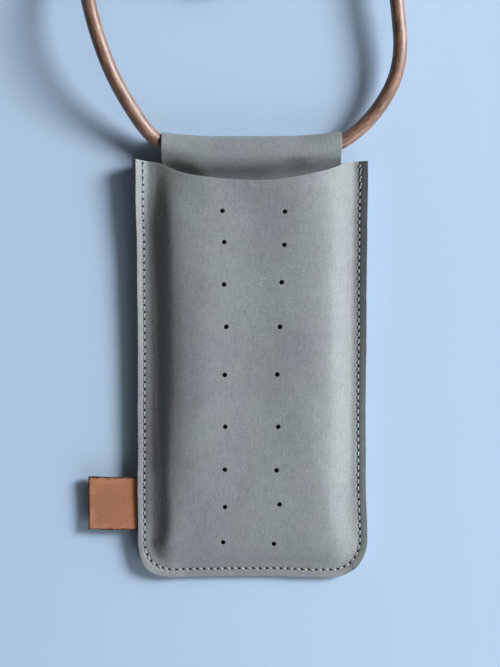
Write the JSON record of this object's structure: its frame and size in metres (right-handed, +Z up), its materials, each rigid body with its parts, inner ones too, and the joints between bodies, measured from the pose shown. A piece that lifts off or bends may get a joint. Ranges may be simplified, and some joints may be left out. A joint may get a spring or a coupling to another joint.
{
  "type": "phone pouch",
  "caption": "Flat leather pouch for a phone, sewn round three sides, with a scooped mouth, punched front, side label and a folded sleeve that carries a round neck cord.",
  "frame": {"origin": "middle of the back face, on the surface that the pouch lies on", "axes": "+X across the pouch, +Y along it from the rounded bottom to the mouth and the cord, +Z up out of the front face"},
  "size_m": [0.1377, 0.337, 0.0177],
  "materials": {
    "pouch_leather": "matt nubuck",
    "label_leather": "smooth, undyed",
    "cord_leather": "smooth, satin",
    "thread": "waxed",
    "tie_leather": "smooth"
  },
  "bodies": {
    "pouch": {"front_panel": "pouch_leather", "back_panel": "pouch_leather", "sleeve_tail": "pouch_leather", "label_tail": "label_leather", "seam_stitches_front": "thread", "seam_stitches_back": "thread", "sleeve_stitches_inside": "thread", "sleeve_stitches_back": "thread"},
    "sleeve": {"cord_sleeve": "pouch_leather"},
    "neck_cord": {"cord_in_sleeve": "cord_leather", "cord_left": "cord_leather", "cord_right": "cord_leather", "cord_coil": "cord_leather", "coil_tie": "tie_leather"},
    "label": {"label_tab": "label_leather"}
  },
  "joints": [
    {"name": "sleeve_fold", "type": "hinge", "parent": "pouch", "child": "sleeve", "pos_m": [0, 0.084, 0.0018], "axis": [1, 0, 0], "range_deg": [-90, 3], "stiffness_Nm_per_rad": 0.12},
    {"name": "cord_turn", "type": "hinge", "parent": "sleeve", "child": "neck_cord", "pos_m": [0, 0.0928, 0.0057], "axis": [1, 0, 0], "range_deg": [-80, 100]},
    {"name": "label_flex", "type": "hinge", "parent": "pouch", "child": "label", "pos_m": [-0.0493, -0.05695, 0.0042], "axis": [0, 1, 0], "range_deg": [-60, 80], "stiffness_Nm_per_rad": 0.03}
  ]
}
